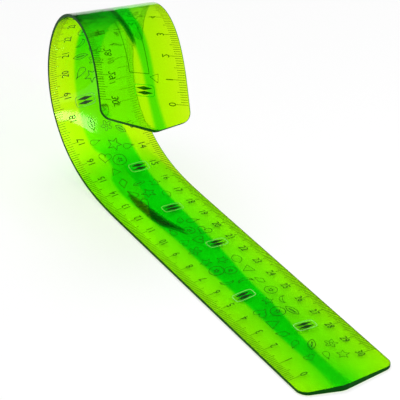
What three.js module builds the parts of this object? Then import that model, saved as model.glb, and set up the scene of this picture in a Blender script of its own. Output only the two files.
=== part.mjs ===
// A flexible 30 cm ruler: one moulded strip of soft clear plastic with two printed scales.
// It lies flat for nearly half of its length, then rises and curls back over itself, as one
// that has been rolled by hand does. Millimetres, +Z up, the near end at -X.
import * as THREE from "three";
import { mergeVertices } from "three/addons/utils/BufferGeometryUtils.js";

// The strip
const stripWidth = 38;
const edgeThickness = 1.2; // along both long edges
const crestThickness = 2.5; // along the crest, where the two bevels meet
const crestRounding = 2; // width over which the meeting of the bevels is rounded
const crestSwing = 42; // length at each end over which the crest leaves the middle for the point
const cornerRadius = 3.5;
const pointOffset = 15; // from the point of an end to its nearer long edge, left near, right far

// How far the ends reach past the first and the last mark, at their corners and their points
const nearLeftReach = 8.8;
const nearPointReach = 14;
const nearRightReach = 11.3;
const farLeftReach = 7.4;
const farPointReach = 11.5;
const farRightReach = 6.3;

// The printed scales, one along each edge, running opposite ways
const scaleLength = 300;
const markPitch = 1;
const marksPerHalf = 5;
const marksPerWhole = 10;
const markWidth = 0.18;
const unitMarkLength = 2.9;
const halfMarkLength = 4;
const wholeMarkLength = 5.1;
const rimLineWidth = 0.15; // the hairline along the edge that the marks start from
const inkThickness = 0.08;
const inkClearance = 0.1;

// The curl is two rolls that overlap: the rise off the surface and the fold back over it. A
// roll starts at a distance from the first mark, and turns the strip fastest halfway along its
// length. Its axis lies oblique to the strip by its skew. Turns and skews are in degrees.
const riseStart = 113;
const riseLength = 131;
const riseTurn = 120;
const riseSkew = -2.4;
const foldStart = 198.5;
const foldLength = 113.5;
const foldTurn = 106.3;
const foldSkew = -12.7;

// How finely curves are faceted
const bendStep = 3;
const frameStep = 1;
const cornerSteps = 3;
const crestSteps = 2;
const bevelSteps = 2;
const solverSteps = 8;

const halfWidth = stripWidth / 2;
const neutralHeight = crestThickness / 2;
const nearTip = -nearPointReach;
const farTip = scaleLength + farPointReach;
const rad = THREE.MathUtils.degToRad;
const rolls = [
  { start: riseStart, length: riseLength, turn: riseTurn, skew: riseSkew },
  { start: foldStart, length: foldLength, turn: foldTurn, skew: foldSkew },
];

// How fast a roll turns the strip at a distance along it, in radians a millimetre
function turnRate(roll, along) {
  const share = (along - roll.start) / roll.length;
  if (share <= 0 || share >= 1) return 0;
  return (rad(roll.turn) / roll.length) * (1 - Math.cos(2 * Math.PI * share));
}

// The turning vector in the strip's own axes: x along it, y to its left, z off its printed face
function turnVector(along) {
  const vector = new THREE.Vector3();
  for (const roll of rolls) {
    const rate = turnRate(roll, along);
    vector.x += rate * Math.sin(rad(roll.skew));
    vector.y -= rate * Math.cos(rad(roll.skew));
  }
  return vector;
}

// How far a straight line across the surface leans along the strip, per millimetre across it
function leanOfRuling(along) {
  const vector = turnVector(along);
  if (vector.y !== 0) return -vector.x / vector.y;
  return Math.tan(rad(along < foldStart ? riseSkew : foldSkew));
}

// Carries a frame of the middle line on from one distance to the next
function advance(frame, from, to) {
  const step = to - from;
  const vector = turnVector((from + to) / 2);
  const angle = vector.length() * step;
  const axis = vector.normalize();
  const half = new THREE.Quaternion().setFromAxisAngle(axis, angle / 2);
  const facing = frame.facing.clone().multiply(half);
  const heading = new THREE.Vector3(1, 0, 0).applyQuaternion(facing);
  return {
    place: frame.place.clone().addScaledVector(heading, step),
    facing: facing.multiply(half),
  };
}

const frameStart = nearTip - frameStep;
const frameEnd = farTip + halfWidth;
const frames = [
  {
    place: new THREE.Vector3(frameStart, 0, neutralHeight),
    facing: new THREE.Quaternion(),
  },
];
for (let along = frameStart; along < frameEnd; along += frameStep) {
  frames.push(advance(frames[frames.length - 1], along, along + frameStep));
}

function frameAt(along) {
  const whole = Math.floor((along - frameStart) / frameStep);
  const index = THREE.MathUtils.clamp(whole, 0, frames.length - 1);
  return advance(frames[index], frameStart + index * frameStep, along);
}

// Where a point of the flat strip comes to lie once it is rolled. The surface stays unstretched:
// each point is carried along the straight line across the strip that passes through it.
function rolled(along, across, height) {
  const left = halfWidth - across;
  let foot = along;
  for (let i = 0; i < solverSteps; i++) foot = along + left * leanOfRuling(foot);
  const { place, facing } = frameAt(foot);
  const offset = new THREE.Vector3(along - foot, left, height - neutralHeight);
  return place.clone().add(offset.applyQuaternion(facing));
}

// Where the crest lies across the strip: in the middle, until it swings over to each end's point
function crestPlace(along) {
  const nearShare = Math.max(1 - (along - nearTip) / crestSwing, 0);
  const farShare = Math.max(1 - (farTip - along) / crestSwing, 0);
  return halfWidth + (halfWidth - pointOffset) * (farShare - nearShare);
}

// The height of the printed face: two bevels that rise to a rounded crest
function faceHeight(along, across) {
  const crest = crestPlace(along);
  const run = across < crest ? crest : stripWidth - crest;
  const fromCrest = Math.abs(across - crest);
  const rounded = crestRounding / 2;
  const slope = (crestThickness - edgeThickness) / (run - rounded / 2);
  if (fromCrest >= rounded) return edgeThickness + slope * (run - fromCrest);
  const dip = (rounded ** 2 + fromCrest ** 2) / (2 * rounded);
  return edgeThickness + slope * (run - dip);
}

// How far an end reaches at a place across it: a shallow point, less the rounded corners
function endReach(across, pointAt, leftReach, pointReach, rightReach) {
  const onLeft = across < pointAt;
  const share = onLeft ? across / pointAt : (stripWidth - across) / (stripWidth - pointAt);
  const inCorner = Math.max(cornerRadius - Math.min(across, stripWidth - across), 0);
  const relief = cornerRadius - Math.sqrt(cornerRadius ** 2 - inCorner ** 2);
  return THREE.MathUtils.lerp(onLeft ? leftReach : rightReach, pointReach, share) - relief;
}

// The places across the strip where its outline or its section turns, for a crest at one of them
function columnPlaces(crest) {
  const places = [];
  for (let i = 0; i <= cornerSteps; i++) {
    const inset = cornerRadius * (1 - Math.cos(((i / cornerSteps) * Math.PI) / 2));
    places.push(inset, stripWidth - inset);
  }
  for (let i = 0; i <= crestSteps; i++) {
    places.push(crest + crestRounding * (i / crestSteps - 1 / 2));
  }
  for (let i = 1; i < bevelSteps; i++) {
    const share = i / bevelSteps;
    places.push(THREE.MathUtils.lerp(cornerRadius, crest - crestRounding / 2, share));
    places.push(THREE.MathUtils.lerp(stripWidth - cornerRadius, crest + crestRounding / 2, share));
  }
  return places.sort((a, b) => a - b);
}

// The distances along the strip at which it has a ring of points between its two ends
function rowPlaces() {
  const first = cornerRadius - Math.min(nearLeftReach, nearRightReach);
  const last = scaleLength + Math.min(farLeftReach, farRightReach) - cornerRadius;
  const swung = Math.max(nearTip + crestSwing, first + bendStep);
  const start = THREE.MathUtils.clamp(riseStart, swung + bendStep, last - bendStep);
  const count = Math.ceil((last - start) / bendStep);
  const places = [first, swung];
  for (let i = 0; i <= count; i++) places.push(start + ((last - start) * i) / count);
  return places;
}

function meshOf(points, faces) {
  const geometry = new THREE.BufferGeometry();
  const positions = points.flatMap((point) => [point.x, point.y, point.z]);
  geometry.setAttribute("position", new THREE.Float32BufferAttribute(positions, 3));
  geometry.setIndex(faces);
  geometry.computeVertexNormals();
  return geometry;
}

// The strip is lofted ring by ring, from the near end's outline to the far end's
function stripGeometry() {
  const ringOf = (columns, alongAt) => [
    ...columns.map((across) => {
      const along = alongAt(across);
      return rolled(along, across, faceHeight(along, across));
    }),
    ...columns.toReversed().map((across) => rolled(alongAt(across), across, 0)),
  ];
  const nearPoint = crestPlace(nearTip);
  const farPoint = crestPlace(farTip);
  const nearEnd = (across) =>
    -endReach(across, nearPoint, nearLeftReach, nearPointReach, nearRightReach);
  const farEnd = (across) =>
    scaleLength + endReach(across, farPoint, farLeftReach, farPointReach, farRightReach);
  const rings = [ringOf(columnPlaces(nearPoint), nearEnd)];
  for (const along of rowPlaces()) rings.push(ringOf(columnPlaces(crestPlace(along)), () => along));
  rings.push(ringOf(columnPlaces(farPoint), farEnd));

  const size = rings[0].length;
  const faces = [];
  const quad = (a, b, c, d) => faces.push(a, b, c, a, c, d);
  for (let i = 0; i < rings.length - 1; i++) {
    for (let j = 0; j < size; j++) {
      const next = (j + 1) % size;
      quad(i * size + j, i * size + next, (i + 1) * size + next, (i + 1) * size + j);
    }
  }
  const lastRing = (rings.length - 1) * size;
  for (let j = 0; j < size / 2 - 1; j++) {
    quad(size - 1 - j, size - 2 - j, j + 1, j);
    quad(lastRing + j, lastRing + j + 1, lastRing + size - 2 - j, lastRing + size - 1 - j);
  }
  return meshOf(rings.flat(), faces);
}

function markLength(index) {
  if (index % marksPerWhole === 0) return wholeMarkLength;
  return index % marksPerHalf === 0 ? halfMarkLength : unitMarkLength;
}

// One printed scale: a film of ink on the face, with a mark at each millimetre. The marks run
// in from the edge and share a hairline along it. acrossOf turns a distance from the edge into
// a place across the strip, and flip keeps the faces outward on the mirrored scale.
function scaleGeometry(acrossOf, flip) {
  const count = Math.round(scaleLength / markPitch);
  const points = [];
  const faces = [];
  const addPoint = (along, inset) => {
    const across = acrossOf(inset);
    const base = faceHeight(along, across) + inkClearance;
    points.push(rolled(along, across, base), rolled(along, across, base + inkThickness));
    return points.length - 2;
  };
  const triangle = (a, b, c) => (flip ? faces.push(a, c, b) : faces.push(a, b, c));
  // An area of the film, given by its corners in turn: an upper and a lower face
  const area = (...corners) => {
    for (let i = 1; i < corners.length - 1; i++) {
      triangle(corners[0] + 1, corners[i] + 1, corners[i + 1] + 1);
      triangle(corners[0], corners[i + 1], corners[i]);
    }
  };
  const wall = (a, b) => {
    triangle(a, b, b + 1);
    triangle(a, b + 1, a + 1);
  };
  let last;
  for (let i = 0; i <= count; i++) {
    const along = i * markPitch;
    const rim = addPoint(along, 0);
    const rootBefore = addPoint(along - markWidth / 2, rimLineWidth);
    const rootAfter = addPoint(along + markWidth / 2, rimLineWidth);
    const tipBefore = addPoint(along - markWidth / 2, markLength(i));
    const tipAfter = addPoint(along + markWidth / 2, markLength(i));
    area(rim, rootAfter, rootBefore);
    area(rootBefore, rootAfter, tipAfter, tipBefore);
    wall(rootAfter, tipAfter);
    wall(tipAfter, tipBefore);
    wall(tipBefore, rootBefore);
    if (last) {
      area(last.rim, rim, rootBefore, last.rootAfter);
      wall(last.rim, rim);
      wall(rootBefore, last.rootAfter);
    } else {
      wall(rootBefore, rim);
    }
    last = { rim, rootAfter };
  }
  wall(last.rim, last.rootAfter);
  return mergeVertices(meshOf(points, faces));
}

const softPlastic = new THREE.MeshStandardMaterial({
  color: 0x86e300,
  roughness: 0.12,
  metalness: 0,
  transparent: true,
  opacity: 0.65,
});
const ink = new THREE.MeshStandardMaterial({ color: 0x27380c, roughness: 0.6, metalness: 0 });

function piece(name, geometry, material) {
  const mesh = new THREE.Mesh(geometry, material);
  mesh.name = name;
  return mesh;
}

const strip = piece("ruler_strip", stripGeometry(), softPlastic);
const leftScale = piece("left_scale_graduations", scaleGeometry((inset) => inset, true), ink);
const rightScale = piece(
  "right_scale_graduations",
  scaleGeometry((inset) => stripWidth - inset, false),
  ink,
);

const ruler = new THREE.Group();
ruler.add(strip, leftScale, rightScale);

// The origin is on the surface that the ruler lies on, under the middle of its box
const middle = new THREE.Box3().setFromObject(ruler).getCenter(new THREE.Vector3());
ruler.position.set(-middle.x, -middle.y, 0);

export default ruler;
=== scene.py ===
# A see-through flexible ruler, 30 cm, lying flat with its far end rolled up and over.
# Each piece is modelled flat, as it was moulded and printed, and is then rolled with the strip.
import bmesh
import bpy
import math
import random
from mathutils import Matrix, Quaternion, Vector


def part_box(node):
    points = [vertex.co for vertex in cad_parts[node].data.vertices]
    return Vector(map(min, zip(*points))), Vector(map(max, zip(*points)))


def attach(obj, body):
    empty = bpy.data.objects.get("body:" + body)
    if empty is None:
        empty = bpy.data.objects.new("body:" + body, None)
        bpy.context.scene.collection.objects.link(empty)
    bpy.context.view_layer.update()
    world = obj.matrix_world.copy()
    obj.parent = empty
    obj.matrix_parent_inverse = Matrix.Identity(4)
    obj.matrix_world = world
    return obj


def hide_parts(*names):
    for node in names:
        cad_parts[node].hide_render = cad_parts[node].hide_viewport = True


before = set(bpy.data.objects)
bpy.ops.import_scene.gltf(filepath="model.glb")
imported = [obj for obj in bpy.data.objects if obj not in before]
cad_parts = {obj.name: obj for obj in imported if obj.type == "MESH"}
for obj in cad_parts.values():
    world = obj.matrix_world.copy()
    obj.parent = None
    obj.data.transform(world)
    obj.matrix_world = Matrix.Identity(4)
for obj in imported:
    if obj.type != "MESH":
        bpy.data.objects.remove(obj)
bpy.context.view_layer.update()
print("frame loaded")

mm = 0.001

# Sizes of the moulding in millimetres, the same as in the solids
strip = {
    "width": 38.0,
    "edgeThickness": 1.2,
    "crestThickness": 2.5,
    "crestRounding": 2.0,
    "crestSwing": 42.0,  # over which the crest leaves the middle for the point of each end
    "cornerRadius": 3.5,
    "cornerSegments": 8,
    "tipRadius": 1.5,
    "tipSegments": 4,
    "pointOffset": 15.0,  # from the point of an end to its nearer long edge, left near, right far
    "marked": 300.0,  # from the first mark to the last
    # how far the left corner, the point and the right corner reach past the marks
    "nearReaches": (8.8, 14.0, 11.3),
    "farReaches": (7.4, 11.5, 6.3),
    "arris": 0.16,  # the rounding that a mould leaves on every edge
    "arrisSegments": 2,
    "arrisAngle": 40,  # edges sharper than this get it, in degrees
    "smoothAngle": 35,  # edges softer than this are shaded smooth
    "flatPitch": 6.0,  # between cuts across the flat stretch
    "curlPitch": 1.2,  # and across the curl
    "lastCut": 1.0,  # how near to the far point the cuts may come
    "bevelPlaces": (6.5, 9.0, 11.5, 14.0, 16.5),  # cuts along the bevels, from the middle
    "crestPlaces": (-1, -0.5, 0, 0.5, 1),  # and along the crest, in shares of half its rounding
    "sideSlope": 0.95,  # a face whose normal points up or down less than this is part of a side
    "endSample": 20.0,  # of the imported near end, from which its middle line is found
}
rolls = [  # the rise off the table and the fold back over it, turns and skews in degrees
    {"start": 113.0, "length": 131.0, "turn": 120.0, "skew": -2.4},
    {"start": 198.5, "length": 113.5, "turn": 106.3, "skew": -12.7},
]
halfWidth = strip["width"] / 2
neutralHeight = strip["crestThickness"] / 2
pointLeft = halfWidth - strip["pointOffset"]
nearTip = -strip["nearReaches"][1]
farTip = strip["marked"] + strip["farReaches"][1]

# Where the first mark lies in the frame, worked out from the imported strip's near end
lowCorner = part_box("ruler_strip")[0]
sampleEnd = lowCorner.x + strip["endSample"] * mm
nearEnd = [v.co.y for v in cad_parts["ruler_strip"].data.vertices if v.co.x < sampleEnd]
firstMark = Vector((lowCorner.x - nearTip * mm, (min(nearEnd) + max(nearEnd)) / 2, 0))


# How the strip rolls: the same turning as in the solids, along a strip that doesn't stretch
def turnVector(along):
    vector = Vector((0, 0, 0))
    for roll in rolls:
        share = (along - roll["start"]) / roll["length"]
        if 0 < share < 1:
            rate = math.radians(roll["turn"]) / roll["length"] * (1 - math.cos(2 * math.pi * share))
            skew = math.radians(roll["skew"])
            vector += rate * Vector((math.sin(skew), -math.cos(skew), 0))
    return vector


# How far a straight line across the strip leans along it, per millimetre to the left
def leanOfRuling(along):
    vector = turnVector(along)
    if vector.y != 0:
        return -vector.x / vector.y
    return math.tan(math.radians(rolls[0 if along < rolls[1]["start"] else 1]["skew"]))


def advance(place, facing, start, end):
    vector = turnVector((start + end) / 2)
    half = Quaternion(vector.normalized(), vector.length * (end - start) / 2)
    return place + (facing @ half) @ Vector((end - start, 0, 0)), facing @ half @ half


# A place and a facing for every millimetre of the strip, from just before its near point
rollStart = nearTip - 1
rollFrames = [(Vector((rollStart, 0, neutralHeight)), Quaternion())]
for step in range(int(farTip + halfWidth - rollStart) + 1):
    rollFrames.append(advance(*rollFrames[-1], rollStart + step, rollStart + step + 1))
footRounds = 8  # rounds of search for where a point's ruling crosses the middle line


# From millimetres on the flat strip to metres in the frame
def rolled(along, left, height):
    foot = along
    for _ in range(footRounds):
        foot = along + left * leanOfRuling(foot)
    index = min(max(int(foot - rollStart), 0), len(rollFrames) - 1)
    place, facing = advance(*rollFrames[index], rollStart + index, foot)
    return (place + facing @ Vector((along - foot, left, height - neutralHeight))) * mm + firstMark


def crestLeft(along):
    nearShare = max(1 - (along - nearTip) / strip["crestSwing"], 0)
    farShare = max(1 - (farTip - along) / strip["crestSwing"], 0)
    return pointLeft * (nearShare - farShare)


# The printed face: two bevels that meet in a rounded crest
def faceHeight(along, left):
    crest = crestLeft(along)
    run = halfWidth - crest if left > crest else halfWidth + crest
    rounded = strip["crestRounding"] / 2
    slope = (strip["crestThickness"] - strip["edgeThickness"]) / (run - rounded / 2)
    fromCrest = abs(left - crest)
    if fromCrest < rounded:
        fromCrest = (rounded ** 2 + fromCrest ** 2) / (2 * rounded)
    return strip["edgeThickness"] + slope * (run - fromCrest)


# Small tools for edit mode
cutTolerance = 0.0000001  # in metres
nearBy = 0.1 * mm  # a corner is found again within this
slack = 0.01  # in millimetres, for faces that end on a line


def deselectAll():
    if bpy.context.object and bpy.context.object.mode != "OBJECT":
        bpy.ops.object.mode_set(mode="OBJECT")
    bpy.ops.object.select_all(action="DESELECT")


def startPiece(name):
    piece = bpy.context.object
    piece.name = piece.data.name = name
    bpy.ops.object.transform_apply(location=True, rotation=True, scale=True)
    return piece


def selectWhere(piece, kind, test):
    bpy.ops.mesh.select_mode(type=kind)
    bpy.ops.mesh.select_all(action="DESELECT")
    mesh = bmesh.from_edit_mesh(piece.data)
    for item in {"EDGE": mesh.edges, "FACE": mesh.faces}[kind]:
        item.select_set(test(item))
    mesh.select_flush_mode()
    bmesh.update_edit_mesh(piece.data)


def cutSelected(place, normal, **options):
    bpy.ops.mesh.bisect(plane_co=place, plane_no=normal, threshold=cutTolerance, **options)


def cutAll(place, normal, **options):
    bpy.ops.mesh.select_all(action="SELECT")
    cutSelected(place, normal, **options)


def applyModifier(piece, kind, **settings):
    modifier = piece.modifiers.new(kind.lower(), kind)
    for name, value in settings.items():
        setattr(modifier, name, value)
    bpy.context.view_layer.objects.active = piece
    bpy.ops.object.modifier_apply(modifier=modifier.name)


def joinPieces(pieces, name):
    deselectAll()
    for piece in pieces:
        piece.select_set(True)
    bpy.context.view_layer.objects.active = pieces[0]
    bpy.ops.object.transform_apply(location=True, rotation=True, scale=True)
    bpy.ops.object.join()
    return startPiece(name)


# Rolls a flat piece with the strip, and keeps each point's place on the flat strip as its UV.
# The strip's own bevels rise as it is rolled, and a print lies a lift above the printed face.
def rollPiece(piece, lift=None):
    flat = [v.co.copy() for v in piece.data.vertices]
    while piece.data.uv_layers:
        piece.data.uv_layers.remove(piece.data.uv_layers[0])
    places = piece.data.uv_layers.new(name="stripPlace")
    for loop in piece.data.loops:
        places.data[loop.index].uv = flat[loop.vertex_index].xy
    for vertex, point in zip(piece.data.vertices, flat):
        along, left, height = point / mm
        face = faceHeight(along, left)
        height = height * face / strip["edgeThickness"] if lift is None else height + face + lift
        vertex.co = rolled(along, left, height)
    piece.data.update()


def smoothPiece(piece, angle):
    deselectAll()
    piece.select_set(True)
    bpy.context.view_layer.objects.active = piece
    bpy.ops.object.shade_smooth_by_angle(angle=math.radians(angle))


# The moulded strip
def makeStrip():
    length = farTip - nearTip
    deselectAll()
    bpy.ops.mesh.primitive_cube_add(
        size=1,
        location=((nearTip + length / 2) * mm, 0, strip["edgeThickness"] / 2 * mm),
        scale=(length * mm, strip["width"] * mm, strip["edgeThickness"] * mm),
    )
    piece = startPiece("softRulerStrip")
    bpy.ops.object.mode_set(mode="EDIT")

    # the pointed ends, each cut along two slants
    for tip, reaches, outward, left in (
        (nearTip, strip["nearReaches"], -1, pointLeft),
        (farTip, strip["farReaches"], 1, -pointLeft),
    ):
        for corner, reach in ((halfWidth, reaches[0]), (-halfWidth, reaches[2])):
            slant = Vector(((reach - reaches[1]) * outward, corner - left, 0))
            normal = Vector((slant.y, -slant.x, 0)).normalized()
            if normal.x * outward < 0:
                normal.negate()
            cutAll((tip * mm, left * mm, 0), normal, clear_outer=True, use_fill=True)

    # corners and points rounded, then every edge
    def upright(e):
        a, b = (v.co for v in e.verts)
        return (a - b).xy.length < nearBy and abs(a.z - b.z) > strip["edgeThickness"] / 2 * mm

    def atCorner(e):
        return upright(e) and abs(e.verts[0].co.y) > halfWidth * mm - nearBy

    def atPoint(e):
        x, y, _ = e.verts[0].co
        atTip = x < nearTip * mm + nearBy or x > farTip * mm - nearBy
        return upright(e) and atTip and abs(abs(y) - pointLeft * mm) < nearBy

    selectWhere(piece, "EDGE", atCorner)
    bpy.ops.mesh.bevel(offset=strip["cornerRadius"] * mm, segments=strip["cornerSegments"], affect="EDGES")
    selectWhere(piece, "EDGE", atPoint)
    bpy.ops.mesh.bevel(offset=strip["tipRadius"] * mm, segments=strip["tipSegments"], affect="EDGES")
    bpy.ops.object.mode_set(mode="OBJECT")
    applyModifier(
        piece, "BEVEL", width=strip["arris"] * mm, segments=strip["arrisSegments"],
        limit_method="ANGLE", angle_limit=math.radians(strip["arrisAngle"]),
    )

    # cuts along the crest, which swings over to the points at the ends
    bpy.ops.object.mode_set(mode="EDIT")
    swing = strip["crestSwing"]
    crestLine = [(nearTip, pointLeft), (nearTip + swing, 0), (farTip - swing, 0), (farTip, -pointLeft)]
    for along, _ in crestLine[1:-1]:
        cutAll((along * mm, 0, 0), (1, 0, 0))
    for (start, startLeft), (end, endLeft) in zip(crestLine, crestLine[1:]):
        low, high = start - slack, end + slack
        for share in strip["crestPlaces"]:
            selectWhere(piece, "FACE", lambda f: all(low < v.co.x / mm < high for v in f.verts))
            offset = share * strip["crestRounding"] / 2
            cutSelected((start * mm, (startLeft + offset) * mm, 0), (startLeft - endLeft, end - start, 0))

    # cuts for the bend to follow, lengthwise and across
    for left in strip["bevelPlaces"]:
        cutAll((0, left * mm, 0), (0, 1, 0))
        cutAll((0, -left * mm, 0), (0, 1, 0))
    along = nearTip + strip["flatPitch"]
    while along < farTip - strip["lastCut"]:
        cutAll((along * mm, 0, 0), (1, 0, 0))
        flat = along < rolls[0]["start"] - strip["flatPitch"]
        along += strip["flatPitch"] if flat else strip["curlPitch"]
    bpy.ops.object.mode_set(mode="OBJECT")

    # the sides and their rounded edges are marked, for the painted shade of their outward faces
    side = piece.data.attributes.new("side", "BOOLEAN", "FACE")
    for face, mark in zip(piece.data.polygons, side.data):
        mark.value = abs(face.normal.z) < strip["sideSlope"]
    rollPiece(piece)
    smoothPiece(piece, strip["smoothAngle"])
    applyModifier(piece, "WEIGHTED_NORMAL", keep_sharp=True)
    return piece


softStrip = makeStrip()
print("strip moulded and rolled,", len(softStrip.data.polygons), "faces")


# The print: films of ink on the face, in millimetres
film = {
    "thickness": 0.04,
    "lift": 0.03,
}
scale = {
    "perWhole": 10,
    "markWidth": 0.16,
    "markLengths": (5.1, 2.9, 2.9, 2.9, 2.9, 4.0, 2.9, 2.9, 2.9, 2.9),  # one centimetre of them
    "edgeGap": 0.25,
}


# One scale: a centimetre of marks, repeated, and the last mark. The sides are 1 left, -1 right.
def makeMarks(name, side):
    def addMark(along, length):
        middle = side * (halfWidth - scale["edgeGap"] - length / 2)
        bpy.ops.mesh.primitive_cube_add(
            size=1,
            location=(along * mm, middle * mm, film["thickness"] / 2 * mm),
            scale=(scale["markWidth"] * mm, length * mm, film["thickness"] * mm),
        )

    pieces = []
    for copies in (int(strip["marked"]) // scale["perWhole"], 1):
        deselectAll()
        addMark(0 if copies > 1 else strip["marked"], scale["markLengths"][0])
        piece = startPiece(name)
        if copies > 1:
            bpy.ops.object.mode_set(mode="EDIT")
            for index in range(1, scale["perWhole"]):
                addMark(index, scale["markLengths"][index])
            bpy.ops.object.mode_set(mode="OBJECT")
            applyModifier(
                piece, "ARRAY", count=copies, use_relative_offset=False, use_constant_offset=True,
                constant_offset_displace=(scale["perWhole"] * mm, 0, 0),
            )
        pieces.append(piece)
    piece = joinPieces(pieces, name)
    rollPiece(piece, film["lift"])
    return piece


numerals = {
    "height": 3.0,
    "narrowing": 0.8,
    "inset": 6.9,  # from the long edge to the middle of the figures
    "capShare": 0.7,  # how tall a figure is in its font's own size
    "curveCuts": 3,
    "mergeWithin": 0.001,
}


# The figures of one scale stand with their tops to its edge, and count from where it starts
def makeNumerals(name, side):
    pieces = []
    for centimetre in range(int(strip["marked"]) // scale["perWhole"] + 1):
        deselectAll()
        bpy.ops.object.text_add()
        figure = bpy.context.object
        figure.data.body = str(centimetre)
        figure.data.size = numerals["height"] / numerals["capShare"] * mm
        figure.data.extrude = film["thickness"] / 2 * mm
        figure.data.resolution_u = numerals["curveCuts"]
        bpy.ops.object.convert(target="MESH")
        figure = bpy.context.object
        bpy.ops.object.origin_set(type="ORIGIN_GEOMETRY", center="BOUNDS")
        grow = numerals["height"] * mm / figure.dimensions.y
        along = centimetre if side > 0 else strip["marked"] / scale["perWhole"] - centimetre
        middle = side * (halfWidth - numerals["inset"])
        figure.location = (along * scale["perWhole"] * mm, middle * mm, film["thickness"] / 2 * mm)
        figure.rotation_euler = (0, 0, 0 if side > 0 else math.pi)
        figure.scale = (numerals["narrowing"] * grow, grow, 1)
        pieces.append(figure)
    piece = joinPieces(pieces, name)
    bpy.ops.object.mode_set(mode="EDIT")
    bpy.ops.mesh.select_all(action="SELECT")
    bpy.ops.mesh.remove_doubles(threshold=numerals["mergeWithin"] * mm)
    bpy.ops.object.mode_set(mode="OBJECT")
    rollPiece(piece, film["lift"])
    return piece


# Small line figures fill the middle: plain shapes, each an outline drawn with a fine stroke. An
# outline gives a place for an angle that runs round from the top, in shares of the figure's size.
outlines = {
    "starPoints": 5,
    "starWaist": 0.45,
    "petals": 5,
    "petalMiddle": 0.74,
    "petalDepth": 0.24,
    "dropWidth": 0.8,
    "leafWidth": 0.45,
    "crescentHollow": 0.45,
    "crescentShift": 0.4,
    "kiteWidth": 0.6,
    "kiteShoulder": 0.25,
    "panelFlatness": 0.4,  # 1 would be round, and 0 a plain oblong
}


def starOutline(turn):
    tip = round(turn / (math.pi / outlines["starPoints"])) % 2 == 0
    reach = 1 if tip else outlines["starWaist"]
    return reach * math.sin(turn), reach * math.cos(turn)


def flowerOutline(turn):
    reach = outlines["petalMiddle"] + outlines["petalDepth"] * math.cos(outlines["petals"] * turn)
    return reach * math.sin(turn), reach * math.cos(turn)


# the usual heart curve of textbooks
def heartOutline(turn):
    height = (13 * math.cos(turn) - 5 * math.cos(2 * turn) - 2 * math.cos(3 * turn) - math.cos(4 * turn)) / 16
    return math.sin(turn) ** 3, height


def dropOutline(turn):
    return outlines["dropWidth"] * math.sin(turn) * math.sin(turn / 2) ** 2, math.cos(turn)


def leafOutline(turn):
    return outlines["leafWidth"] * math.sin(turn) * abs(math.sin(turn)), math.cos(turn)


def crescentOutline(turn):
    across = math.sin(turn)
    if across <= 0:
        across *= -outlines["crescentHollow"]
    return across - outlines["crescentShift"], math.cos(turn)


def roundOutline(turn):
    return math.sin(turn), math.cos(turn)


# its two corners at the sides sit above the middle
def kiteOutline(turn):
    across = math.sin(turn)
    shoulder = outlines["kiteShoulder"] if abs(across) > 0.5 else 0
    return outlines["kiteWidth"] * across, math.cos(turn) + shoulder


def panelOutline(turn):
    ways = math.sin(turn), math.cos(turn)
    return [math.copysign(abs(way) ** outlines["panelFlatness"], way) for way in ways]


# Each figure lists its strokes: an outline, how many points it has, its width and height
figures = {
    "stroke": 0.24,
    "kinds": [
        [(starOutline, 10, 1, 1)],
        [(flowerOutline, 30, 1, 1), (roundOutline, 10, 0.28, 0.28)],
        [(heartOutline, 24, 0.9, 0.9)],
        [(dropOutline, 20, 1, 1)],
        [(leafOutline, 20, 1, 1), (leafOutline, 8, 0.25, 0.6)],
        [(crescentOutline, 24, 1, 1)],
        [(roundOutline, 20, 0.85, 0.85), (starOutline, 10, 0.4, 0.4)],
        [(kiteOutline, 4, 1, 1)],
        [(roundOutline, 3, 1, 1)],
        [(leafOutline, 20, 1.5, 1)],
    ],
    "rows": (-5.9, 0.0, 5.9),
    "pitch": 8.0,
    "first": 2.0,
    "last": 300.0,
    "sizes": (2.3, 3.6),  # from the middle of a figure to its reach
    "limit": 8.8,  # how far from the middle line a figure may reach
    "jitter": 0.8,
    "seed": 7,
    "inTurn": 0.7,  # how often the next kind follows, and otherwise one that is a leap on
    "leap": 4,
}
nameBox = {  # a plain box to write in, with no figures in it
    "along": (262.0, 288.0),
    "left": (-3.9, 4.3),
    "stroke": 0.2,
}
accents = {
    "places": [(24, -4), (52, 5), (88, -5), (119, -3), (150, -5), (186, 5), (222, -3), (251, 4), (295, -1)],
    "outline": (2.5, 4.3),  # from the middle of a frame to its ends and to its sides
    "outlineStroke": 0.28,
    "outlinePoints": 32,
    "lozenge": (0.8, 3.5),
    "lozengePitch": 1.9,
    "lozengePoints": 4,
    "clearance": 7.0,  # from the middle of an accent to the nearest figure's
}


# A closed film in the shape of an outline, with an open middle where it has a stroke
def makeShape(outline, points, reachAlong, reachLeft, stroke=None, along=0):
    deselectAll()
    bpy.ops.mesh.primitive_circle_add(vertices=points, radius=1, fill_type="NGON")
    piece = startPiece("printedShape")
    bpy.ops.object.mode_set(mode="EDIT")
    mesh = bmesh.from_edit_mesh(piece.data)
    for vertex in mesh.verts:
        across, up = outline(math.atan2(vertex.co.x, vertex.co.y))
        vertex.co = ((along + across * reachAlong) * mm, up * reachLeft * mm, 0)
    bmesh.update_edit_mesh(piece.data)
    bpy.ops.mesh.select_all(action="SELECT")
    if stroke:
        bpy.ops.mesh.select_mode(type="FACE")
        bpy.ops.mesh.inset(thickness=stroke * mm)
        bpy.ops.mesh.delete(type="FACE")
        bpy.ops.mesh.select_all(action="SELECT")
    bpy.ops.mesh.extrude_region_move(TRANSFORM_OT_translate={"value": (0, 0, film["thickness"] * mm)})
    bpy.ops.mesh.select_all(action="SELECT")
    bpy.ops.mesh.normals_make_consistent(inside=False)
    bpy.ops.object.mode_set(mode="OBJECT")
    return piece


def copyTo(model, along, left, size=1.0, turn=0.0):
    piece = model.copy()
    piece.data = model.data.copy()
    bpy.context.collection.objects.link(piece)
    piece.location = (along * mm, left * mm, 0)
    piece.rotation_euler = (0, 0, turn)
    piece.scale = (size, size, 1)
    return piece


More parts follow.
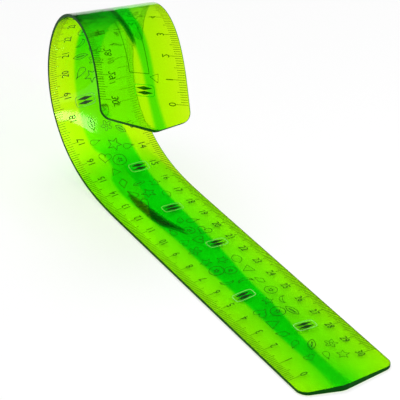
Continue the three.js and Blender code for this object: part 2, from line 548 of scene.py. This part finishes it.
def makeNameBox():
    (start, end), (right, left) = nameBox["along"], nameBox["left"]
    half = nameBox["stroke"] / 2
    sides = [(start, end, y - half, y + half) for y in (right, left)]
    sides += [(x - half, x + half, right + half, left - half) for x in (start, end)]
    pieces = []
    for low, high, below, above in sides:
        deselectAll()
        bpy.ops.mesh.primitive_cube_add(
            size=1,
            location=((low + high) / 2 * mm, (below + above) / 2 * mm, film["thickness"] / 2 * mm),
            scale=((high - low) * mm, (above - below) * mm, film["thickness"] * mm),
        )
        piece = startPiece("nameBoxLine")
        bpy.ops.object.mode_set(mode="EDIT")
        for cut in range(int(start) + 1, int(end) + 1):  # a cut to each millimetre, for the bend
            cutAll((cut * mm, 0, 0), (1, 0, 0))
        bpy.ops.object.mode_set(mode="OBJECT")
        pieces.append(piece)
    return joinPieces(pieces, "nameBox")


# A figure keeps clear of the box and of the accents
def isFree(place, reach):
    room = zip(place, (nameBox["along"], nameBox["left"]))
    gap = max(max(low - spot, spot - high) for spot, (low, high) in room)
    nearest = min((place - Vector(spot)).length for spot in accents["places"])
    return gap > reach and nearest > accents["clearance"]


def makeFigures():
    random.seed(figures["seed"])
    smallest, largest = figures["sizes"]
    models = []
    for strokes in figures["kinds"]:
        parts = [
            makeShape(outline, points, across * largest, up * largest, figures["stroke"])
            for outline, points, across, up in strokes
        ]
        models.append(joinPieces(parts, "printedFigure"))
    copies = []
    kind = 0
    for row, rowLeft in enumerate(figures["rows"]):
        along = figures["first"] + row * figures["pitch"] / len(figures["rows"])
        while along < figures["last"]:
            reach = random.uniform(smallest, largest)
            room = figures["limit"] - reach
            left = min(max(rowLeft + random.uniform(-1, 1) * figures["jitter"], -room), room)
            place = Vector((along + random.uniform(-1, 1) * figures["jitter"], left))
            turn = random.uniform(0, 2 * math.pi)
            if isFree(place, reach):
                copies.append(copyTo(models[kind % len(models)], *place, reach / largest, turn))
            kind += 1 if random.random() < figures["inTurn"] else figures["leap"]
            along += figures["pitch"]
    for model in models:
        bpy.data.objects.remove(model)
    copies.append(makeNameBox())
    piece = joinPieces(copies, "printedFigures")
    rollPiece(piece, film["lift"])
    return piece


# Nine dark accents, each two lozenges in a pale rounded frame
def makeAccents():
    frameModel = makeShape(
        panelOutline, accents["outlinePoints"], *accents["outline"], accents["outlineStroke"]
    )
    points, half = accents["lozengePoints"], accents["lozengePitch"] / 2
    pair = [makeShape(roundOutline, points, *accents["lozenge"], along=way * half) for way in (-1, 1)]
    darkModel = joinPieces(pair, "accentModel")
    pieces = []
    for model, name in ((darkModel, "accentLozenges"), (frameModel, "accentFrames")):
        piece = joinPieces([copyTo(model, *place) for place in accents["places"]], name)
        bpy.data.objects.remove(model)
        rollPiece(piece, film["lift"])
        pieces.append(piece)
    return pieces


leftMarks = makeMarks("leftScaleMarks", 1)
rightMarks = makeMarks("rightScaleMarks", -1)
leftNumerals = makeNumerals("leftScaleNumerals", 1)
rightNumerals = makeNumerals("rightScaleNumerals", -1)
lineFigures = makeFigures()
accentLozenges, accentFrames = makeAccents()
print("scales and figures printed")


# Materials. A hex colour is taken off the sRGB curve.
def toLinear(hexColour):
    channels = [int(hexColour[i:i + 2], 16) / 255 for i in (1, 3, 5)]
    return [c / 12.92 if c <= 0.04045 else ((c + 0.055) / 1.055) ** 2.4 for c in channels] + [1.0]


# Inputs go by their names, or by number where names repeat: 0 is the share of a mix, and 6 and 7
# are the two colours of a colour mix.
def addNode(tree, kind, settings=None, inputs=None):
    node = tree.nodes.new(kind)
    for name, value in (settings or {}).items():
        setattr(node, name, value)
    for name, value in (inputs or {}).items():
        if isinstance(value, bpy.types.NodeSocket):
            tree.links.new(value, node.inputs[name])
        else:
            node.inputs[name].default_value = value
    return node


def newMaterial(name):
    material = bpy.data.materials.new(name)
    material.use_nodes = True
    material.node_tree.nodes.clear()
    return material, material.node_tree


# Plasticised PVC, injection moulded and dyed in the mass: clear lime green that deepens where
# the light's way through it is long, so that edges and doubled layers turn a darker green. The
# mould leaves it glossy, with a ripple too faint to feel.
softPvc = {
    "absorbs": (0.33, 0.02, 3.0),  # of red, green and blue light, per millimetre
    "skin": "#f6ffb4",
    "ior": 1.53,
    "gloss": (0.03, 0.06),  # roughness, at the clearest and the dullest of the ripple
    "glossTint": "#a8ff80",
    "ripplePitch": 9.0,  # millimetres between the mould's faint waves, and their height
    "rippleHeight": 0.01,
    "rippleDetail": 1.0,
    "lampTint": "#f3f8e7",  # of a lamp's light that has come through, on what lies behind
    # Painted shade: bands of darker green painted into the plastic's tint, standing in for coloured shadow
    # and dark streaks of light through the strip.
    # Each lists distances along the strip, with where the middle of a band lies to the left, how far it
    # reaches to each side, and how deep it is
    "paintedShadeBands": [
        # painted coloured shade: the deep green band along the middle, narrowing towards the near point
        {
            "shadeTint": "#20e6f0", "softness": 0.8,
            "centres": ((-14, 3.9), (0, 3.8), (20, 3.6), (40, 2.5), (60, 2.2), (80, 1.4), (100, 0.7),
                        (120, 0.8), (148, 0.3), (154, -1.6), (160, -1.6), (166, 0), (185, 0.5),
                        (240, -0.5), (258, -0.6), (265, -1.9), (276, -2.6), (286, -3.1), (296, -3.4),
                        (303, -4.4), (311, -6.0)),
            "reaches": ((-14, 3.2), (0, 2.6), (20, 3.4), (40, 4.1), (60, 4.5), (80, 5.6), (100, 6.2),
                        (120, 7.1), (148, 8.1), (154, 6.6), (160, 6.6), (166, 8.2), (185, 7.6),
                        (240, 6.5), (258, 3.9), (265, 3.1), (276, 2.7), (286, 2.3), (296, 2.0),
                        (303, 2.1), (311, 2.6)),
            "shadeDepths": ((-14, 0.6), (0, 0.9), (20, 1), (140, 1), (160, 0.9), (175, 0.65), (200, 0.7),
                       (215, 0.9), (262, 1), (276, 0.85), (300, 0.8), (311, 0.8)),
        },
        {  # painted shade: a soft green spread by the near point
            "shadeTint": "#80f0ff", "softness": 6.0,
            "centres": ((-14, 3), (25, 2.5)),
            "reaches": ((-14, 6), (25, 2)),
            "shadeDepths": ((-14, 1), (0, 0.8), (25, 0), (311, 0)),
        },
        {  # painted shade over the whole width of the flat stretch, deepest towards the near end
            "shadeTint": "#e8e8ff", "softness": 1.0,
            "centres": ((-14, 0), (110, 0)),
            "reaches": ((-14, 24), (110, 24)),
            "shadeDepths": ((-14, 1), (35, 1), (55, 0.65), (80, 0.45), (110, 0.2), (140, 0), (311, 0)),
        },
        {  # painted shade: deep green over the left of the crown, where the light runs round inside
            "shadeTint": "#58d0ff", "softness": 1.5,
            "centres": ((240, 12), (311, 12)),
            "reaches": ((240, 10), (262, 10), (270, 8), (311, 8)),
            "shadeDepths": ((-14, 0), (244, 0), (250, 0.8), (256, 1), (263, 0.95), (268, 0.55), (274, 0.2),
                       (290, 0.08), (311, 0)),
        },
        {  # and painted shade, greener, on down the flap
            "shadeTint": "#d4ffff", "softness": 2.0,
            "centres": ((240, 12), (311, 12)),
            "reaches": ((240, 10), (311, 9)),
            "shadeDepths": ((-14, 0), (262, 0), (274, 1), (311, 1)),
        },
        {  # a painted dark streak of shade where the strip starts to rise
            "shadeTint": "#04680a", "softness": 0.5,
            "centres": ((98, 0.6), (101, 1.4), (104, 2.2), (108, 3.7), (112, 5.0), (116, 5.6),
                        (120, 5.9), (128, 6.4), (138, 6.7)),
            "reaches": ((98, -1), (101, 0.2), (104, 0.8), (108, 1.4), (112, 1.9), (120, 2.0),
                        (128, 1.6), (134, 0.9), (139, -0.5)),
            "shadeDepths": ((98, 1), (138, 1)),
        },
        {  # and a painted dark streak of shade where the flap starts to fall
            "shadeTint": "#0a6a0a", "softness": 0.4,
            "centres": ((240, 3.0), (250, 2.6), (255, 2.3), (260, 1.9), (265, 1.4), (270, 0.8),
                        (275, 0.2), (279, 0)),
            "reaches": ((240, -1), (247, 1.3), (250, 1.5), (255, 1.3), (260, 1.1), (270, 0.9),
                        (275, 0.4), (279, -0.5)),
            "shadeDepths": ((240, 1), (279, 1)),
        },
    ],
    "widest": 25.0,  # more than any centre or reach of a band, in millimetres
}
# At the upright sides, painted shade: the dark bottle green that light shows there after running through the
# whole width is painted as an opaque colour on their outward faces, a little uneven along the strip
paintedSideShade = {
    "colour": "#065a0a",
    "deeperShade": "#033c06",
    "roughness": 0.35,
    "specular": 0.03,
    "streakLength": 4.0,
    "streakDetail": 2.0,
}


def makeSoftPvc():
    material, tree = newMaterial("clearLimePvc")
    places = addNode(tree, "ShaderNodeUVMap", settings={"uv_map": "stripPlace"})
    place = addNode(tree, "ShaderNodeSeparateXYZ", inputs={0: places.outputs[0]})
    share = addNode(tree, "ShaderNodeMapRange", inputs={
        "Value": place.outputs["X"], "From Min": nearTip * mm, "From Max": farTip * mm,
    })

    # a value that follows points along the strip, between -most and most
    def alongCurve(points, most, unit):
        curve = addNode(tree, "ShaderNodeFloatCurve", inputs={"Value": share.outputs[0]})
        line = curve.mapping.curves[0]
        started = len(line.points)  # a new curve has its two end points
        for index, (distance, value) in enumerate(points):
            spot = ((distance - nearTip) / (farTip - nearTip), (1 + value / most) / 2)
            if index < started:
                line.points[index].location = spot
            else:
                line.points.new(*spot)
        curve.mapping.update()
        return addNode(tree, "ShaderNodeMapRange", inputs={
            "Value": curve.outputs[0], "To Min": -most * unit, "To Max": most * unit,
        }).outputs[0]

    colour = toLinear(softPvc["skin"])
    # painted shade: each band multiplies its darker tint into the plastic's colour
    for band in softPvc["paintedShadeBands"]:
        centre = alongCurve(band["centres"], softPvc["widest"], mm)
        reach = alongCurve(band["reaches"], softPvc["widest"], mm)
        shadeDepth = alongCurve(band["shadeDepths"], 1, 1)
        fromCentre = addNode(tree, "ShaderNodeMath", settings={"operation": "SUBTRACT"}, inputs={
            0: place.outputs["Y"], 1: centre,
        })
        away = addNode(tree, "ShaderNodeMath", settings={"operation": "ABSOLUTE"}, inputs={
            0: fromCentre.outputs[0],
        })
        beyond = addNode(tree, "ShaderNodeMath", settings={"operation": "SUBTRACT"}, inputs={
            0: away.outputs[0], 1: reach,
        })
        inShadeBand = addNode(tree, "ShaderNodeMapRange", settings={"interpolation_type": "SMOOTHSTEP"}, inputs={
            "Value": beyond.outputs[0],
            "From Min": band["softness"] * mm,
            "From Max": -band["softness"] * mm,
        })
        strength = addNode(tree, "ShaderNodeMath", settings={"operation": "MULTIPLY"}, inputs={
            0: inShadeBand.outputs[0], 1: shadeDepth,
        })
        multiply = {"data_type": "RGBA", "blend_type": "MULTIPLY"}
        shaded = addNode(tree, "ShaderNodeMix", settings=multiply, inputs={
            0: strength.outputs[0], 6: colour, 7: toLinear(band["shadeTint"]),
        })
        colour = shaded.outputs[2]

    ripple = addNode(tree, "ShaderNodeTexNoise", inputs={
        "Vector": places.outputs[0],
        "Scale": 1 / (softPvc["ripplePitch"] * mm),
        "Detail": softPvc["rippleDetail"],
    })
    gloss = addNode(tree, "ShaderNodeMapRange", inputs={
        "Value": ripple.outputs["Fac"], "To Min": softPvc["gloss"][0], "To Max": softPvc["gloss"][1],
    })
    bump = addNode(tree, "ShaderNodeBump", inputs={
        "Height": ripple.outputs["Fac"], "Distance": softPvc["rippleHeight"] * mm,
    })
    most = max(softPvc["absorbs"])
    glass = addNode(tree, "ShaderNodeBsdfPrincipled", inputs={
        "Base Color": colour,
        "Roughness": gloss.outputs[0],
        "IOR": softPvc["ior"],
        "Transmission Weight": 1.0,
        "Specular Tint": toLinear(softPvc["glossTint"]),
        "Normal": bump.outputs[0],
    })
    # lamps reach through it, coloured by the plastic that they cross
    clear = addNode(tree, "ShaderNodeBsdfTransparent", inputs={"Color": toLinear(softPvc["lampTint"])})
    path = addNode(tree, "ShaderNodeLightPath")
    plastic = addNode(tree, "ShaderNodeMixShader", inputs={
        0: path.outputs["Is Shadow Ray"], 1: glass.outputs[0], 2: clear.outputs[0],
    })

    # the sides, on their outward faces: painted shade, an opaque dark green
    streaks = addNode(tree, "ShaderNodeTexNoise", inputs={
        "Vector": places.outputs[0],
        "Scale": 1 / (paintedSideShade["streakLength"] * mm),
        "Detail": paintedSideShade["streakDetail"],
    })
    sideShadeColour = addNode(tree, "ShaderNodeMix", settings={"data_type": "RGBA"}, inputs={
        0: streaks.outputs["Fac"], 6: toLinear(paintedSideShade["colour"]), 7: toLinear(paintedSideShade["deeperShade"]),
    })
    dark = addNode(tree, "ShaderNodeBsdfPrincipled", inputs={
        "Base Color": sideShadeColour.outputs[2],
        "Roughness": paintedSideShade["roughness"],
        "Specular IOR Level": paintedSideShade["specular"],
    })
    onSide = addNode(tree, "ShaderNodeAttribute", settings={"attribute_name": "side"})
    geometry = addNode(tree, "ShaderNodeNewGeometry")
    outward = addNode(tree, "ShaderNodeMath", settings={"operation": "SUBTRACT"}, inputs={
        0: 1.0, 1: geometry.outputs["Backfacing"],
    })
    sideShare = addNode(tree, "ShaderNodeMath", settings={"operation": "MULTIPLY"}, inputs={
        0: onSide.outputs["Fac"], 1: outward.outputs[0],
    })
    surface = addNode(tree, "ShaderNodeMixShader", inputs={
        0: sideShare.outputs[0], 1: plastic.outputs[0], 2: dark.outputs[0],
    })
    dye = addNode(tree, "ShaderNodeVolumeAbsorption", inputs={
        "Color": [1 - a / most for a in softPvc["absorbs"]] + [1],
        "Density": most / mm,
    })
    addNode(tree, "ShaderNodeOutputMaterial", inputs={
        "Surface": surface.outputs[0], "Volume": dye.outputs[0],
    })
    return material


# Screen-printed solvent ink on plastic: matt, thin, and a little uneven where the mesh let less
# of it through. The mesh is too fine to show, so the unevenness is drawn coarser.
screenPrint = {
    "meshPitch": 0.12,  # of the printing screen, in millimetres
    "drawnCoarser": 3,  # so many times
    "detail": 2.0,
    "roughness": 0.5,
    "reliefStrength": 0.2,
    "reliefHeight": 0.01,  # in millimetres
}
scaleInk = {
    "name": "darkScreenInk",
    "colour": "#0a2410",
    "thin": "#1c4414",
}
paleInk = {
    "name": "paleMintScreenInk",
    "colour": "#97dd7c",
    "thin": "#7acb58",
}


def makeInk(ink):
    material, tree = newMaterial(ink["name"])
    places = addNode(tree, "ShaderNodeUVMap", settings={"uv_map": "stripPlace"})
    patches = addNode(tree, "ShaderNodeTexNoise", inputs={
        "Vector": places.outputs[0],
        "Scale": 1 / (screenPrint["drawnCoarser"] * screenPrint["meshPitch"] * mm),
        "Detail": screenPrint["detail"],
    })
    colour = addNode(tree, "ShaderNodeMix", settings={"data_type": "RGBA"}, inputs={
        0: patches.outputs["Fac"], 6: toLinear(ink["colour"]), 7: toLinear(ink["thin"]),
    })
    bump = addNode(tree, "ShaderNodeBump", inputs={
        "Height": patches.outputs["Fac"],
        "Strength": screenPrint["reliefStrength"],
        "Distance": screenPrint["reliefHeight"] * mm,
    })
    surface = addNode(tree, "ShaderNodeBsdfPrincipled", inputs={
        "Base Color": colour.outputs[2], "Roughness": screenPrint["roughness"], "Normal": bump.outputs[0],
    })
    addNode(tree, "ShaderNodeOutputMaterial", inputs={"Surface": surface.outputs[0]})
    return material


def dress(piece, material, node=None):
    piece.data.materials.clear()
    piece.data.materials.append(material)
    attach(piece, "root")
    if node:
        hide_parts(node)


dress(softStrip, makeSoftPvc(), "ruler_strip")
darkInk = makeInk(scaleInk)
dress(leftMarks, darkInk, "left_scale_graduations")
dress(rightMarks, darkInk, "right_scale_graduations")
for printedPiece in (leftNumerals, rightNumerals, lineFigures, accentLozenges):
    dress(printedPiece, darkInk)
dress(accentFrames, makeInk(paleInk))
print("materials made")


# Floor, backdrop and lamps
studio = {
    "floorSize": 6.0,  # in metres
    "floorGap": 0.3,  # millimetres under the ruler
    "floorColour": "#fbfbfb",
    "floorWhiteness": 0.6,  # how much of the floor that the camera sees is plain white background
    "roomColour": "#ffffff",
    "room": 0.03,  # how bright the room round the white table is
    "overhead": {  # a broad, even light, with its turn, height and spread in degrees
        "azimuth": 0,
        "elevation": 75,
        "strength": 2.6,
        "spread": 60,
    },
    "softbox": {  # a tall, narrow light beyond the camera, which the rising stretch mirrors
        "place": (-293.4, -96.9, 381.7),  # millimetres from the first mark
        "facing": (-0.777, -0.191, 0.6),
        "tall": (-0.615, 0.031, -0.788),
        "width": 36,
        "height": 650,
        "power": 1.3,
    },
}


def makeFloor():
    deselectAll()
    bpy.ops.mesh.primitive_plane_add(size=studio["floorSize"], location=(0, 0, -studio["floorGap"] * mm))
    floor = startPiece("paleFloor")
    material, tree = newMaterial("whiteCard")
    card = addNode(tree, "ShaderNodeBsdfDiffuse", inputs={"Color": toLinear(studio["floorColour"])})
    white = addNode(tree, "ShaderNodeEmission", inputs={"Strength": 1.0})
    path = addNode(tree, "ShaderNodeLightPath")
    share = addNode(tree, "ShaderNodeMath", settings={"operation": "MULTIPLY"}, inputs={
        0: path.outputs["Is Camera Ray"], 1: studio["floorWhiteness"],
    })
    surface = addNode(tree, "ShaderNodeMixShader", inputs={
        0: share.outputs[0], 1: card.outputs[0], 2: white.outputs[0],
    })
    addNode(tree, "ShaderNodeOutputMaterial", inputs={"Surface": surface.outputs[0]})
    floor.data.materials.append(material)


# The room is dim, so that nothing glares in the gloss. Seen directly or through the plastic, it
# is as white as the floor.
def makeWorld():
    world = bpy.data.worlds.new("dimRoom")
    bpy.context.scene.world = world
    world.use_nodes = True
    tree = world.node_tree
    tree.nodes.clear()
    path = addNode(tree, "ShaderNodeLightPath")
    undimmed = addNode(tree, "ShaderNodeMath", settings={"operation": "LESS_THAN"}, inputs={
        0: path.outputs["Diffuse Depth"], 1: 0.5,  # true until light has scattered once
    })
    through = addNode(tree, "ShaderNodeMath", settings={"operation": "MULTIPLY"}, inputs={
        0: path.outputs["Is Transmission Ray"], 1: undimmed.outputs[0],
    })
    seen = addNode(tree, "ShaderNodeMath", settings={"operation": "MAXIMUM"}, inputs={
        0: path.outputs["Is Camera Ray"], 1: through.outputs[0],
    })
    strength = addNode(tree, "ShaderNodeMath", settings={"operation": "MAXIMUM"}, inputs={
        0: seen.outputs[0], 1: studio["room"],
    })
    light = addNode(tree, "ShaderNodeBackground", inputs={
        "Color": toLinear(studio["roomColour"]), "Strength": strength.outputs[0],
    })
    addNode(tree, "ShaderNodeOutputWorld", inputs={"Surface": light.outputs[0]})


def makeLamps():
    lamp = studio["overhead"]
    azimuth, elevation = math.radians(lamp["azimuth"]), math.radians(lamp["elevation"])
    level = math.cos(elevation)
    direction = Vector((level * math.cos(azimuth), level * math.sin(azimuth), math.sin(elevation)))
    turn = direction.to_track_quat("Z", "Y").to_euler()
    deselectAll()
    bpy.ops.object.light_add(type="SUN", location=direction, rotation=turn)
    light = bpy.context.object
    light.name = "overhead"
    light.data.energy = lamp["strength"]
    light.data.angle = math.radians(lamp["spread"])
    light.visible_glossy = False  # it shows in no gloss
    light.visible_transmission = False

    box = studio["softbox"]
    deselectAll()
    bpy.ops.object.light_add(type="AREA", location=firstMark + Vector(box["place"]) * mm)
    light = bpy.context.object
    light.name = "softbox"
    facing = Vector(box["facing"]).normalized()
    tall = Vector(box["tall"])
    tall = (tall - facing * tall.dot(facing)).normalized()
    light.rotation_euler = Matrix((tall.cross(facing), tall, facing)).transposed().to_euler()
    light.data.shape = "RECTANGLE"
    light.data.size = box["width"] * mm
    light.data.size_y = box["height"] * mm
    light.data.energy = box["power"]
    light.visible_transmission = False


# The camera stands where the scale's own marks put it, measured from the first of them
view = {
    "place": (-515.6, 356.5, 463.8),  # in millimetres
    "turn": (57.86, 0.491, -120.702),  # in degrees
    "focalLength": 195.57,
    "sensorWidth": 36,
    "nearest": 0.01,  # in metres
    "farthest": 50,
}


def makeCamera():
    deselectAll()
    bpy.ops.object.camera_add(
        location=firstMark + Vector(view["place"]) * mm,
        rotation=[math.radians(angle) for angle in view["turn"]],
    )
    camera = bpy.context.object
    camera.data.lens = view["focalLength"]
    camera.data.sensor_width = view["sensorWidth"]
    camera.data.clip_start = view["nearest"]
    camera.data.clip_end = view["farthest"]
    bpy.context.scene.camera = camera


# Light runs along inside the strip, so it bounces more often there than Blender allows at first
bounces = {
    "max_bounces": 32,
    "glossy_bounces": 24,
    "transmission_bounces": 24,
    "transparent_max_bounces": 24,
}


makeFloor()
makeWorld()
makeLamps()
makeCamera()
bpy.context.scene.view_settings.view_transform = "Standard"
for name, count in bounces.items():
    setattr(bpy.context.scene.cycles, name, count)
bpy.context.scene.cycles.caustics_reflective = False  # the lamps' glints would speckle the floor
print("studio lit")
